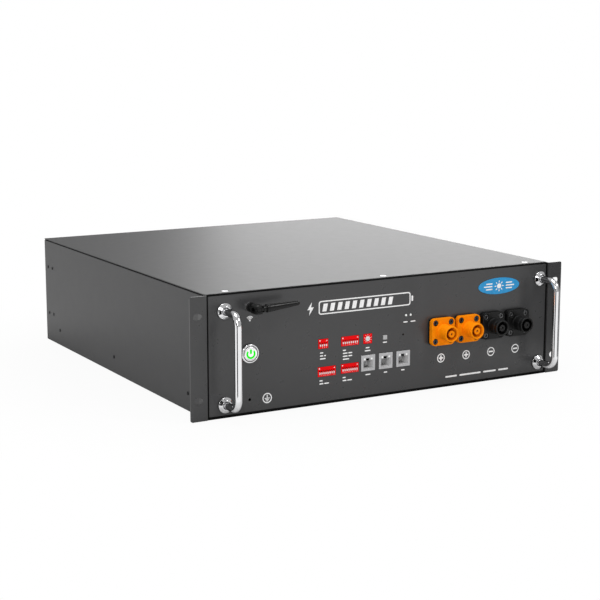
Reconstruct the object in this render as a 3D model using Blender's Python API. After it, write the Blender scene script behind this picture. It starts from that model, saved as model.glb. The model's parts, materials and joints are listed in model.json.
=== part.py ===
"""Rack-mounted lithium battery pack, three rack units high, as separate closed solids.

All named dimensions are in millimetres. The width runs along X, the depth along Y
(the front panel faces -Y) and the height along Z, with the base on Z = 0.
"""

import math

import bpy
from mathutils import Vector
from mathutils.geometry import tessellate_polygon

MM = 0.001
GAP = 0.3

# Enclosure
BODY_WIDTH = 443.5
BODY_DEPTH = 479.0
BODY_HEIGHT = 133.0
SHEET = 1.2
COVER_SHEET = 1.0
COVER_SEAM = 1.3
SHELL_SETBACK = 3.3
RAIL_DEPTH = 20.0
COVER_SCREW_XS = (-193.5, 2.5, 198.5)
COVER_SCREW_SETBACK = 13.5
COVER_SCREW_RADIUS = 3.8

# The front panel's outer face, and the height midway up the case
FACE = -BODY_DEPTH / 2
MIDDLE = BODY_HEIGHT / 2
PANEL_WIDTH = 439.2
PANEL_HEIGHT = 129.2
PANEL_SHEET = 1.9
SEAL_BASE = 0.1
SEAL_DEPTH = 3.0
SEAL_SIDE = 1.65
SEAL_FLANGE = 6.5

# Rack ears, to the nineteen-inch standard
EAR_SPAN = 482.6
EAR_HEIGHT = 132.0
EAR_SHEET = 2.0
EAR_PROUD = 1.6
EAR_FLANGE_SHEET = 1.5
EAR_FLANGE_DEPTH = 16.0
EAR_FLANGE_HEIGHT = 122.0
SLOT_SPAN_X = 465.1
SLOT_SPAN_Z = 88.9
SLOT_LENGTH = 10.3
SLOT_WIDTH = 6.8

# Handles
HANDLES = (("left", -201.0), ("right", 211.0))
HANDLE_FEET = (("lower", 14.5), ("upper", 114.5))
HANDLE_REACH = 31.0
HANDLE_RADIUS = 4.0
HANDLE_BEND = 12.0
FERRULE_RADIUS = 8.6
FERRULE_HEIGHT = 5.0

# Controls in a column at the left of the panel
CONTROL_X = -172.0
POWER_BUTTON_RADIUS = 8.0
POWER_BEZEL_RADIUS = 10.3
POWER_BARREL_RADIUS = 9.4
ANTENNA_Z = 116.5
ANTENNA_REACH = 20.2
ANTENNA_TILT = 3.5
GROUND_Z = 16.5
GROUND_RADIUS = 1.7

# Power connectors
CONNECTOR_XS = (70.0, 105.0, 140.0, 175.0)
CONNECTOR_NAMES = ("positive_1", "positive_2", "negative_1", "negative_2")
CONNECTOR_FLANGE = 31.0
CONNECTOR_FLANGE_DEPTH = 8.0
CONNECTOR_REACH = 24.8
CONNECTOR_RADIUS = 9.1
CONNECTOR_BORE = 7.1
CONNECTOR_TAIL_RADIUS = 8.0
CONNECTOR_SCREW_SPACING = 21.0
CONTACT_RADIUS = 3.9
CONTACT_STUD_RADIUS = 3.0

# Network sockets
SOCKET_XS = (-25.0, -2.0, 21.0)
SOCKET_Z = 39.8
SOCKET_SIZE = 18.0

# Small switches and lights, all soldered to the board behind the panel
BOARD_SETBACK = 13.2
TAIL_SETBACK = BOARD_SETBACK - GAP
SWITCH_PROUD = 0.4
SWITCH_HEIGHT = 10.4
SLIDER_PITCH = 2.54
SWITCH_BLOCKS = (
    ("upper_left", -82.3, 67.4, 4),
    ("upper_middle", -48.4, 67.2, 8),
    ("lower_left", -77.8, 36.5, 8),
    ("lower_middle", -48.6, 36.8, 8),
)
CODE_SWITCH_X = -25.7
CODE_SWITCH_Z = 67.1
CODE_SWITCH_SIZE = 10.8
ROTOR_RADIUS = 2.7
RESET_X = -3.2
RESET_Z = 66.3
RESET_SIZE = 5.0
LIGHTS = (("run_light", 24.7), ("fault_light", 30.8))
LIGHT_Z = 88.4
PIN_HOLE = (20.8, 67.1)

# Cells
CELLS_PER_ROW = 8
CELL_THICKNESS = 50.0
CELL_WIDTH = 160.0
CELL_TOP = 119.0
CELL_BASE = 2.0
CELL_GROOVE = 1.2
TERMINAL_SIZE = 14.0
TERMINAL_HEIGHT = 2.6
TERMINAL_OFFSET = 55.0
ROWS = (("front", FACE + 172.0), ("rear", FACE + 354.0))
CLAMP_SHEET = 6.0

# Base colour (linear), roughness and metallic value of each finish
FINISHES = {
    "grey_coat": ((0.089, 0.089, 0.090), 0.50, 0.0),
    "light_grey_coat": ((0.130, 0.130, 0.130), 0.42, 0.0),
    "black_rubber": ((0.010, 0.010, 0.010), 0.70, 0.0),
    "chrome": ((0.80, 0.80, 0.80), 0.08, 1.0),
    "zinc": ((0.62, 0.62, 0.64), 0.30, 1.0),
    "button_steel": ((0.85, 0.85, 0.86), 0.25, 1.0),
    "black_plastic": ((0.013, 0.013, 0.014), 0.45, 0.0),
    "orange_plastic": ((0.860, 0.270, 0.005), 0.40, 0.0),
    "red_plastic": ((0.800, 0.010, 0.012), 0.40, 0.0),
    "white_plastic": ((0.800, 0.800, 0.790), 0.40, 0.0),
    "pale_grey_plastic": ((0.480, 0.480, 0.480), 0.45, 0.0),
    "clear_plastic": ((0.780, 0.820, 0.800), 0.15, 0.0),
    "socket_shield": ((0.560, 0.560, 0.570), 0.32, 1.0),
    "silver_contact": ((0.720, 0.710, 0.680), 0.22, 1.0),
    "copper": ((0.780, 0.360, 0.220), 0.28, 1.0),
    "aluminium": ((0.600, 0.610, 0.620), 0.38, 1.0),
    "green_board": ((0.015, 0.130, 0.045), 0.45, 0.0),
    "cell_blue": ((0.020, 0.090, 0.280), 0.45, 0.0),
    "tray_plastic": ((0.050, 0.050, 0.055), 0.55, 0.0),
}


def finish(name, kind):
    """Make the material of one sub-part."""
    colour, roughness, metallic = FINISHES[kind]
    material = bpy.data.materials.new(name)
    material.use_nodes = True
    shader = material.node_tree.nodes["Principled BSDF"]
    shader.inputs["Base Color"].default_value = (*colour, 1.0)
    shader.inputs["Roughness"].default_value = roughness
    shader.inputs["Metallic"].default_value = metallic
    material.diffuse_color = (*colour, 1.0)
    return material


def make_object(name, points, faces, kind="grey_coat"):
    """Turn points in millimetres and faces into an object with its own material."""
    mesh = bpy.data.meshes.new(name)
    mesh.from_pydata([Vector(point) * MM for point in points], [], faces)
    mesh.validate()
    mesh.update()
    mesh.materials.append(finish(name, kind))
    part = bpy.data.objects.new(name, mesh)
    bpy.context.scene.collection.objects.link(part)
    return part


def smooth(part, angle=35.0):
    """Shade round surfaces smoothly and keep the edges sharper than the angle."""
    part.data.shade_smooth()
    part.data.set_sharp_from_angle(angle=math.radians(angle))
    return part


def place(part, x, y, z):
    """Move an object to a point given in millimetres."""
    part.location = Vector((x, y, z)) * MM
    return part


def spot(axis, level, point):
    """Put a point of a flat outline at a level along an axis."""
    u, v = point
    if axis == "X":
        return (level, u, v)
    if axis == "Y":
        return (u, level, v)
    return (u, v, level)


def rectangle(low_u, low_v, high_u, high_v):
    """Return the corners of a rectangle."""
    return [(low_u, low_v), (high_u, low_v), (high_u, high_v), (low_u, high_v)]


def arc(centre, radius, start, end, steps):
    """Return the points of an arc, both ends included, with angles in degrees."""
    turns = [math.radians(start + (end - start) * i / steps) for i in range(steps + 1)]
    return [(centre[0] + radius * math.cos(t), centre[1] + radius * math.sin(t)) for t in turns]


def circle(centre, radius, sides=16):
    """Return the points of a circle."""
    return arc(centre, radius, 0.0, 360.0 - 360.0 / sides, sides - 1)


def rounded_rectangle(centre, width, height, radius, steps=4):
    """Return the outline of a rectangle with round corners."""
    u = width / 2 - radius
    v = height / 2 - radius
    outline = []
    for su, sv, start in ((1, 1, 0), (-1, 1, 90), (-1, -1, 180), (1, -1, 270)):
        corner = (centre[0] + su * u, centre[1] + sv * v)
        outline += arc(corner, radius, start, start + 90, steps)
    return outline


def slot_outline(centre, length, width, steps=8):
    """Return the outline of a slot with round ends that runs along the first direction."""
    reach = (length - width) / 2
    right = arc((centre[0] + reach, centre[1]), width / 2, -90, 90, steps)
    left = arc((centre[0] - reach, centre[1]), width / 2, 90, 270, steps)
    return right + left


def signed_area(outline):
    """Return twice the signed area of an outline."""
    pairs = zip(outline, outline[1:] + outline[:1])
    return sum(a[0] * b[1] - b[0] * a[1] for a, b in pairs)


def slab(name, axis, near, far, outline, holes=(), kind="grey_coat"):
    """Extrude a flat outline with holes between two levels along an axis."""
    loops = [outline if signed_area(outline) > 0 else outline[::-1]]
    loops += [hole if signed_area(hole) < 0 else hole[::-1] for hole in holes]
    flat = [point for loop in loops for point in loop]
    count = len(flat)
    points = [spot(axis, near, point) for point in flat]
    points += [spot(axis, far, point) for point in flat]
    outward = far < near
    if axis == "Y":
        outward = not outward
    triangles = tessellate_polygon([[Vector((u, v, 0.0)) for u, v in loop] for loop in loops])
    faces = []
    for triangle in triangles:
        a, b, c = triangle
        corners = [Vector((*flat[i], 0.0)) for i in triangle]
        if (corners[1] - corners[0]).cross(corners[2] - corners[0]).z < 0:
            a, c = c, a
        near_face, far_face = (c, b, a), (a + count, b + count, c + count)
        faces += [near_face, far_face] if not outward else [near_face[::-1], far_face[::-1]]
    first = 0
    for loop in loops:
        for i in range(len(loop)):
            a = first + i
            b = first + (i + 1) % len(loop)
            wall = (a, b, b + count, a + count)
            faces.append(wall if not outward else wall[::-1])
        first += len(loop)
    return make_object(name, points, faces, kind)


def box(name, low, high, kind="grey_coat"):
    """Make a box between two corners."""
    outline = rectangle(low[0], low[1], high[0], high[1])
    return slab(name, "Z", low[2], high[2], outline, kind=kind)


def lathe(name, axis, profile, kind="grey_coat", sides=24, closed=False):
    """Turn a profile of (level, radius) points about an axis.

    A closed profile joins its last point to its first and makes a ring. An open one
    starts and ends on the axis.
    """
    points = []
    rings = []
    for level, radius in profile:
        if radius == 0:
            rings.append([len(points)])
            points.append(spot(axis, level, (0.0, 0.0)))
        else:
            rings.append(list(range(len(points), len(points) + sides)))
            points += [spot(axis, level, point) for point in circle((0.0, 0.0), radius, sides)]
    pairs = list(zip(rings, rings[1:]))
    if closed:
        pairs.append((rings[-1], rings[0]))
    faces = []
    for low, high in pairs:
        for i in range(sides):
            j = (i + 1) % sides
            corners = [low[i % len(low)], low[j % len(low)], high[j % len(high)], high[i % len(high)]]
            faces.append(tuple(dict.fromkeys(corners)))
    shifted = profile[1:] + profile[:1]
    sweep = sum(a[0] * b[1] - b[0] * a[1] for a, b in zip(profile, shifted))
    inward = sweep > 0
    if axis == "Y":
        inward = not inward
    if inward:
        faces = [face[::-1] for face in faces]
    return smooth(make_object(name, points, faces, kind))


def combine(part, tool, operation):
    """Bake the union or difference of a solid and a tool, and drop the tool."""
    modifier = part.modifiers.new("combine", "BOOLEAN")
    modifier.operation = operation
    modifier.solver = "EXACT"
    modifier.object = tool
    bpy.context.view_layer.update()
    depsgraph = bpy.context.evaluated_depsgraph_get()
    mesh = bpy.data.meshes.new_from_object(part.evaluated_get(depsgraph))
    part.modifiers.clear()
    old_mesh = part.data
    name = old_mesh.name
    part.data = mesh
    bpy.data.meshes.remove(old_mesh)
    mesh.name = name
    mesh.materials.clear()
    mesh.materials.append(bpy.data.materials[part.name])
    tool_material = bpy.data.materials[tool.name]
    bpy.data.objects.remove(tool)
    bpy.data.materials.remove(tool_material)
    return part


def cut(part, tool):
    """Remove a tool from a solid."""
    return combine(part, tool, "DIFFERENCE")


def fuse(part, tool):
    """Add a tool to a solid."""
    return combine(part, tool, "UNION")


def build_enclosure():
    """Make the chassis tray, the top cover and the cover's screws."""
    half = BODY_WIDTH / 2
    front = FACE + SHELL_SETBACK
    rear = BODY_DEPTH / 2
    wall_top = BODY_HEIGHT - COVER_SHEET - COVER_SEAM
    tray = box("chassis_tray", (-half, front, 0.0), (half, rear, wall_top), "light_grey_coat")
    hollow_low = (-half + SHEET, front - 5.0, SHEET)
    hollow_high = (half - SHEET, rear - SHEET, wall_top + 5.0)
    cut(tray, box("tray_hollow", hollow_low, hollow_high))
    screw_y = FACE + COVER_SCREW_SETBACK
    rail_outline = rectangle(-half + SHEET / 2, front + 0.9, half - SHEET / 2, front + RAIL_DEPTH)
    rail_holes = [circle((x, screw_y), 1.8, 12) for x in COVER_SCREW_XS]
    fuse(tray, slab("front_rail", "Z", wall_top - SHEET, wall_top, rail_outline, rail_holes))

    cover_outline = rectangle(-half, front, half, rear)
    cover_holes = [circle((x, screw_y), COVER_SCREW_RADIUS + GAP) for x in COVER_SCREW_XS]
    cover_base = BODY_HEIGHT - COVER_SHEET
    slab("top_cover", "Z", cover_base, BODY_HEIGHT, cover_outline, cover_holes, "light_grey_coat")

    head_base = wall_top + GAP
    head_top = BODY_HEIGHT - 0.1
    profile = [
        (head_base - 6.0, 0.0),
        (head_base - 6.0, 1.5),
        (head_base, 1.5),
        (head_base, COVER_SCREW_RADIUS),
        (head_top, COVER_SCREW_RADIUS),
        (head_top, 0.0),
    ]
    for side, x in zip(("left", "middle", "right"), COVER_SCREW_XS):
        place(lathe(f"cover_screw_{side}", "Z", profile, "zinc", 16), x, screw_y, 0.0)


def build_front_panel():
    """Make the front panel with its cut-outs, and the seal around it."""
    holes = [circle((CONTROL_X, MIDDLE), POWER_BARREL_RADIUS + GAP, 24)]
    holes.append(circle((CONTROL_X, ANTENNA_Z), 3.4))
    holes.append(circle((CONTROL_X, GROUND_Z), GROUND_RADIUS))
    holes.append(circle(PIN_HOLE, 0.8, 8))
    holes += [circle((x, MIDDLE), CONNECTOR_TAIL_RADIUS + 0.4, 20) for x in CONNECTOR_XS]
    holes += [circle((x, LIGHT_Z), 1.8, 12) for _, x in LIGHTS]
    for _, x in HANDLES:
        holes += [circle((x, z), 2.3, 8) for _, z in HANDLE_FEET]
    square_cutouts = [(x, SOCKET_Z, SOCKET_SIZE, SOCKET_SIZE) for x in SOCKET_XS]
    square_cutouts += [(x, z, switch_width(ways), SWITCH_HEIGHT) for _, x, z, ways in SWITCH_BLOCKS]
    square_cutouts.append((CODE_SWITCH_X, CODE_SWITCH_Z, CODE_SWITCH_SIZE, CODE_SWITCH_SIZE))
    square_cutouts.append((RESET_X, RESET_Z, RESET_SIZE, RESET_SIZE))
    for x, z, width, height in square_cutouts:
        u = width / 2 + GAP
        v = height / 2 + GAP
        holes.append(rectangle(x - u, z - v, x + u, z + v))
    outline = rounded_rectangle((0.0, MIDDLE), PANEL_WIDTH, PANEL_HEIGHT, 1.0)
    slab("front_panel", "Y", FACE, FACE + PANEL_SHEET, outline, holes)

    side = PANEL_WIDTH / 2 + 0.35 + SEAL_SIDE
    inner_u = PANEL_WIDTH / 2 - SEAL_FLANGE
    inner_v = PANEL_HEIGHT / 2 - SEAL_FLANGE
    outer = rectangle(-side, SEAL_BASE, side, BODY_HEIGHT - GAP)
    window = rectangle(-inner_u, MIDDLE - inner_v, inner_u, MIDDLE + inner_v)
    seal = slab("front_seal", "Y", FACE + 0.4, FACE + SEAL_DEPTH, outer, [window], "black_rubber")
    pocket_u = PANEL_WIDTH / 2 + 0.35
    pocket_v = PANEL_HEIGHT / 2 + 0.35
    pocket_low = (-pocket_u, FACE - 5.0, MIDDLE - pocket_v)
    pocket_high = (pocket_u, FACE + PANEL_SHEET + GAP, MIDDLE + pocket_v)
    cut(seal, box("seal_pocket", pocket_low, pocket_high))


def build_ear(side, direction):
    """Make one rack ear: a slotted front plate and a flange along the side wall."""
    inner = BODY_WIDTH / 2 + 0.35
    outer = EAR_SPAN / 2
    low = MIDDLE - EAR_HEIGHT / 2
    high = MIDDLE + EAR_HEIGHT / 2
    outline = [(inner, high), (inner, low)]
    outline += arc((outer - 2.0, low + 2.0), 2.0, 270, 360, 4)
    outline += arc((outer - 2.0, high - 2.0), 2.0, 0, 90, 4)
    slots = []
    for offset in (-SLOT_SPAN_Z / 2, SLOT_SPAN_Z / 2):
        slots.append(slot_outline((SLOT_SPAN_X / 2, MIDDLE + offset), SLOT_LENGTH, SLOT_WIDTH))
    outline = [(direction * x, z) for x, z in outline]
    slots = [[(direction * x, z) for x, z in slot] for slot in slots]
    near = FACE - EAR_PROUD
    ear = slab(f"{side}_rack_ear", "Y", near, near + EAR_SHEET, outline, slots)
    flange_xs = sorted((direction * inner, direction * (inner + EAR_FLANGE_SHEET)))
    flange_low = (flange_xs[0], near, MIDDLE - EAR_FLANGE_HEIGHT / 2)
    flange_high = (flange_xs[1], FACE + EAR_FLANGE_DEPTH, MIDDLE + EAR_FLANGE_HEIGHT / 2)
    fuse(ear, box("ear_flange", flange_low, flange_high))


def rod_through(name, path, radius, kind, sides=16):
    """Sweep a circle along a path of (y, z) points and close both ends."""
    points = []
    for i, (y, z) in enumerate(path):
        before = Vector(path[max(i - 1, 0)])
        after = Vector(path[min(i + 1, len(path) - 1)])
        along = (after - before).normalized()
        across = Vector((-along.y, along.x))
        for u, v in circle((0.0, 0.0), radius, sides):
            points.append((u, y + across.x * v, z + across.y * v))
    faces = [tuple(range(sides))]
    for i in range(len(path) - 1):
        for j in range(sides):
            k = (j + 1) % sides
            low = i * sides
            high = low + sides
            faces.append((low + k, low + j, high + j, high + k))
    last = (len(path) - 1) * sides
    faces.append(tuple(last + j for j in reversed(range(sides))))
    return smooth(make_object(name, points, faces, kind))


def build_handle(side, x):
    """Make one bent bar handle and the ferrules at its two feet."""
    foot = -GAP
    bend = HANDLE_BEND
    low, high = (z for _, z in HANDLE_FEET)
    lower_bend = arc((-HANDLE_REACH + bend, low + bend), bend, 270, 180, 5)
    upper_bend = arc((-HANDLE_REACH + bend, high - bend), bend, 180, 90, 5)
    path = [(foot, low)] + lower_bend + upper_bend + [(foot, high)]
    place(rod_through(f"{side}_handle", path, HANDLE_RADIUS, "chrome"), x, FACE, 0.0)
    bore = HANDLE_RADIUS + GAP
    profile = [
        (-GAP, bore),
        (-FERRULE_HEIGHT, bore),
        (-FERRULE_HEIGHT, bore + 1.1),
        (-2.0, FERRULE_RADIUS),
        (-GAP, FERRULE_RADIUS),
    ]
    for level, z in HANDLE_FEET:
        ferrule = lathe(f"{side}_handle_{level}_ferrule", "Y", profile, "chrome", 20, closed=True)
        place(ferrule, x, FACE, z)


def build_power_button():
    """Make the power button's bezel and barrel, its nut and its moving cap."""
    inner = POWER_BUTTON_RADIUS + GAP
    floor = 8.0
    profile = [
        (floor, 0.0),
        (floor, inner),
        (-2.9, inner),
        (-2.9, POWER_BEZEL_RADIUS - 1.0),
        (-1.9, POWER_BEZEL_RADIUS),
        (-GAP, POWER_BEZEL_RADIUS),
        (-GAP, POWER_BARREL_RADIUS),
        (24.0, POWER_BARREL_RADIUS),
        (24.0, 0.0),
    ]
    place(lathe("power_button_bezel", "Y", profile, "button_steel"), CONTROL_X, FACE, MIDDLE)
    hexagon = circle((CONTROL_X, MIDDLE), 13.5, 6)
    hole = circle((CONTROL_X, MIDDLE), POWER_BARREL_RADIUS + GAP, 24)
    near = FACE + PANEL_SHEET + GAP
    slab("power_button_nut", "Y", near, near + 4.0, hexagon, [hole], "zinc")
    cap_profile = [
        (-3.6, 0.0),
        (-3.6, POWER_BUTTON_RADIUS - 0.9),
        (-3.0, POWER_BUTTON_RADIUS),
        (3.5, POWER_BUTTON_RADIUS),
        (3.5, 0.0),
    ]
    cap = lathe("power_button_cap", "Y", cap_profile, "button_steel")
    place(cap, CONTROL_X, FACE, MIDDLE)


def build_antenna():
    """Make the antenna's socket, its swivelling base, hinge pin and folding whip.

    The base, the pin and the whip have their origin where the swivel axis meets the hinge.
    """
    jack_profile = [
        (-8.0, 0.0),
        (-8.0, 2.9),
        (-2.3, 2.9),
        (-2.3, 4.8),
        (-GAP, 4.8),
        (-GAP, 3.0),
        (10.0, 3.0),
        (10.0, 0.0),
    ]
    place(lathe("antenna_jack", "Y", jack_profile, "zinc"), CONTROL_X, FACE, ANTENNA_Z)

    grip_far = ANTENNA_REACH - 2.6
    grip_near = grip_far - 10.4
    fork_half = 4.6
    slot_half = 1.9
    hinge_hole = 1.3
    grip_profile = [
        (grip_near, 0.0),
        (grip_near, 4.6),
        (grip_near + 0.6, 5.2),
        (grip_far, 5.2),
        (grip_far, 3.25),
        (grip_far - 5.8, 3.25),
        (grip_far - 5.8, 0.0),
    ]
    base = lathe("antenna_base", "Y", grip_profile, "black_plastic")
    fork_outline = [(fork_half, grip_near + 0.4)]
    fork_outline += [(-fork_half, grip_near + 0.4)]
    fork_outline += arc((0.0, 0.0), fork_half, 180, 360, 10)
    hole = circle((0.0, 0.0), hinge_hole)
    fork = slab("antenna_fork", "Z", -4.2, 4.2, fork_outline, [hole])
    cut(fork, box("fork_slot", (-8.0, -8.0, -slot_half), (8.0, grip_near - 1.4, slot_half)))
    fuse(base, fork)

    pin_profile = [(-4.1, 0.0), (-4.1, 1.22), (4.1, 1.22), (4.1, 0.0)]
    pin = lathe("antenna_hinge_pin", "Z", pin_profile, "zinc", 16)

    whip_profile = [
        (5.2, 0.0),
        (5.2, 3.6),
        (7.8, 3.6),
        (8.2, 3.0),
        (9.0, 3.0),
        (9.4, 4.5),
        (47.0, 2.5),
        (48.4, 1.9),
        (49.0, 0.9),
        (49.0, 0.0),
    ]
    whip = lathe("antenna_whip", "X", whip_profile, "black_plastic", 16)
    tongue_outline = [(6.2, -3.0), (6.2, 3.0)] + arc((0.0, 0.0), 3.8, 50, 310, 12)
    tongue = slab("antenna_tongue", "Z", -1.6, 1.6, tongue_outline, [hole])
    fuse(whip, tongue)
    for part in (base, pin, whip):
        smooth(part)
        place(part, CONTROL_X, FACE - ANTENNA_REACH, ANTENNA_Z)
        part.rotation_euler = (0.0, -math.radians(ANTENNA_TILT), 0.0)


def build_power_connector(name, x, kind):
    """Make one round power connector: a flanged housing and its centre contact."""
    inner = CONNECTOR_RADIUS - 0.6
    flange_outline = rounded_rectangle((0.0, 0.0), CONNECTOR_FLANGE, CONNECTOR_FLANGE, 5.0)
    flange_hole = circle((0.0, 0.0), inner, 20)
    near = -CONNECTOR_FLANGE_DEPTH
    housing = slab(f"{name}_connector", "Y", near, -GAP, flange_outline, [flange_hole], kind)
    web = -4.0
    stud_hole = CONTACT_STUD_RADIUS + GAP
    mouth = -CONNECTOR_REACH
    barrel_profile = [
        (mouth, CONNECTOR_BORE),
        (mouth, CONNECTOR_RADIUS - 0.4),
        (mouth + 0.4, CONNECTOR_RADIUS),
        (mouth + 2.4, CONNECTOR_RADIUS),
        (mouth + 2.4, CONNECTOR_RADIUS - 0.5),
        (near - 1.3, CONNECTOR_RADIUS - 0.5),
        (near - 1.3, CONNECTOR_RADIUS),
        (-GAP, CONNECTOR_RADIUS),
        (-GAP, CONNECTOR_TAIL_RADIUS),
        (10.0, CONNECTOR_TAIL_RADIUS),
        (10.0, stud_hole),
        (web, stud_hole),
        (web, CONNECTOR_BORE),
    ]
    fuse(housing, lathe("barrel", "Y", barrel_profile, sides=20, closed=True))
    offset = CONNECTOR_SCREW_SPACING / 2
    for su, sv in ((-1, -1), (1, -1), (1, 1), (-1, 1)):
        seat = circle((su * offset, sv * offset), 3.1, 10)
        cut(housing, slab("screw_seat", "Y", near - 5.0, near + 3.0, seat))
    smooth(housing)
    place(housing, x, FACE, MIDDLE)

    contact_profile = [
        (mouth + 7.0, 0.0),
        (mouth + 7.0, 1.3),
        (mouth + 0.5, 1.3),
        (mouth + 0.5, CONTACT_RADIUS - 0.5),
        (mouth + 1.0, CONTACT_RADIUS),
        (web - GAP, CONTACT_RADIUS),
        (web - GAP, CONTACT_STUD_RADIUS),
        (34.0, CONTACT_STUD_RADIUS),
        (34.0, 0.0),
    ]
    contact = lathe(f"{name}_contact", "Y", contact_profile, "silver_contact", 16)
    place(contact, x, FACE, MIDDLE)


def build_network_socket(number, x):
    """Make one shielded network socket with its keyed opening."""
    half = SOCKET_SIZE / 2
    shell = rectangle(-half, -half, half, half)
    keyed = [
        (-6.1, -6.4),
        (6.1, -6.4),
        (6.1, 2.8),
        (2.9, 2.8),
        (2.9, 5.6),
        (-2.9, 5.6),
        (-2.9, 2.8),
        (-6.1, 2.8),
    ]
    name = f"network_socket_{number}"
    socket = slab(name, "Y", -0.5, TAIL_SETBACK, shell, kind="socket_shield")
    cut(socket, slab("socket_mouth", "Y", -3.0, 11.0, keyed))
    place(socket, x, FACE, SOCKET_Z)


def switch_width(ways):
    """Return the width of a slide-switch block."""
    return ways * SLIDER_PITCH + 1.8


def build_switch_block(name, x, z, ways):
    """Make a slide-switch block and its row of sliders, stored in their lower position."""
    half_u = switch_width(ways) / 2
    half_v = SWITCH_HEIGHT / 2
    wall = 0.8
    plate = 0.6
    centres = [(i - (ways - 1) / 2) * SLIDER_PITCH for i in range(ways)]
    slots = [rectangle(u - 0.8, -3.0, u + 0.8, 1.4) for u in centres]
    outer = rectangle(-half_u, -half_v, half_u, half_v)
    inner = rectangle(-half_u + wall, -half_v + wall, half_u - wall, half_v - wall)
    body = slab(f"{name}_switch_body", "Y", -SWITCH_PROUD, plate, outer, slots, "red_plastic")
    fuse(body, slab("switch_walls", "Y", plate - 0.4, TAIL_SETBACK, outer, [inner]))
    place(body, x, FACE, z)

    bar_low = (-half_u + wall + 0.5, plate + GAP, -1.2)
    bar_high = (half_u - wall - 0.5, plate + GAP + 1.3, 1.2)
    sliders = box(f"{name}_sliders", bar_low, bar_high, "white_plastic")
    for u in centres:
        fuse(sliders, box("slider", (u - 0.5, -1.1, -1.0), (u + 0.5, plate + GAP + 0.5, 1.0)))
    place(sliders, x, FACE, z - 1.7)


def build_code_switch():
    """Make the rotary code switch: a square body and a slotted rotor on its axis."""
    half = CODE_SWITCH_SIZE / 2
    outline = rectangle(-half, -half, half, half)
    body = slab("code_switch_body", "Y", -SWITCH_PROUD, TAIL_SETBACK, outline, kind="red_plastic")
    well = circle((0.0, 0.0), ROTOR_RADIUS + GAP, 24)
    cut(body, slab("rotor_well", "Y", -3.0, 3.0, well))
    place(body, CODE_SWITCH_X, FACE, CODE_SWITCH_Z)
    profile = [
        (-0.7, 0.0),
        (-0.7, ROTOR_RADIUS - 0.3),
        (-0.4, ROTOR_RADIUS),
        (2.7, ROTOR_RADIUS),
        (2.7, 0.0),
    ]
    rotor = lathe("code_switch_rotor", "Y", profile, "white_plastic")
    arrow = [(-1.7, -0.4), (0.5, -0.4), (0.5, -1.1), (1.9, 0.0), (0.5, 1.1), (0.5, 0.4), (-1.7, 0.4)]
    cut(rotor, slab("rotor_slot", "Y", -2.0, 0.3, arrow))
    place(smooth(rotor), CODE_SWITCH_X, FACE, CODE_SWITCH_Z)


def build_reset_switch():
    """Make the reset switch's body and its square cap."""
    mouth = PANEL_SHEET + 0.7
    low = (-4.0, mouth, -4.0)
    high = (4.0, TAIL_SETBACK, 4.0)
    body = box("reset_switch_body", low, high, "black_plastic")
    well = RESET_SIZE / 2 + GAP
    cut(body, box("reset_well", (-well, 0.0, -well), (well, 6.5, well)))
    place(body, RESET_X, FACE, RESET_Z)
    half = RESET_SIZE / 2
    outline = rounded_rectangle((0.0, 0.0), RESET_SIZE, RESET_SIZE, 0.5, 3)
    cap = slab("reset_button_cap", "Y", -0.9, 5.2, outline, kind="pale_grey_plastic")
    place(cap, RESET_X, FACE, RESET_Z)


def build_light(name, x):
    """Make one indicator light with a domed lens."""
    profile = [
        (-0.9, 0.0),
        (-0.5, 1.1),
        (0.2, 1.5),
        (PANEL_SHEET + 0.4, 1.5),
        (PANEL_SHEET + 0.4, 1.9),
        (PANEL_SHEET + 1.4, 1.9),
        (PANEL_SHEET + 1.4, 1.5),
        (TAIL_SETBACK, 1.5),
        (TAIL_SETBACK, 0.0),
    ]
    place(lathe(name, "Y", profile, "clear_plastic", 12), x, FACE, LIGHT_Z)


def build_electronics():
    """Make the two circuit boards, the heat sink and the front bus bars."""
    near = FACE + BOARD_SETBACK
    slab("communication_board", "Y", near, near + 1.6, rectangle(-96.0, 22.0, 46.0, 100.0),
         kind="green_board")
    board_near = FACE + 46.0
    slab("management_board", "Y", board_near, board_near + 2.0, rectangle(-130.0, 12.0, 195.0, 118.0),
         kind="green_board")

    fins = 24
    pitch = 12.0
    root = board_near + 2.0 + GAP
    outline = [(-fins * pitch / 2 + 30.0, root), (fins * pitch / 2 + 30.0, root)]
    for i in reversed(range(fins)):
        middle = (i - (fins - 1) / 2) * pitch + 30.0
        outline += [(middle + pitch / 2, root + 4.0)] if i == fins - 1 else []
        outline += [(middle + 1.2, root + 4.0), (middle + 1.0, root + 16.0)]
        outline += [(middle - 1.0, root + 16.0), (middle - 1.2, root + 4.0)]
    outline.append((-fins * pitch / 2 + 30.0, root + 4.0))
    slab("management_heat_sink", "Z", 16.0, 114.0, outline, kind="aluminium")

    for sign, pair in (("positive", CONNECTOR_XS[:2]), ("negative", CONNECTOR_XS[2:])):
        middle = sum(pair) / 2
        outline = rounded_rectangle((middle, MIDDLE), 56.0, 24.0, 3.0)
        holes = [circle((x, MIDDLE), CONTACT_STUD_RADIUS + GAP) for x in pair]
        slab(f"{sign}_bus_bar", "Y", FACE + 26.0, FACE + 29.0, outline, holes, "copper")


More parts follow.
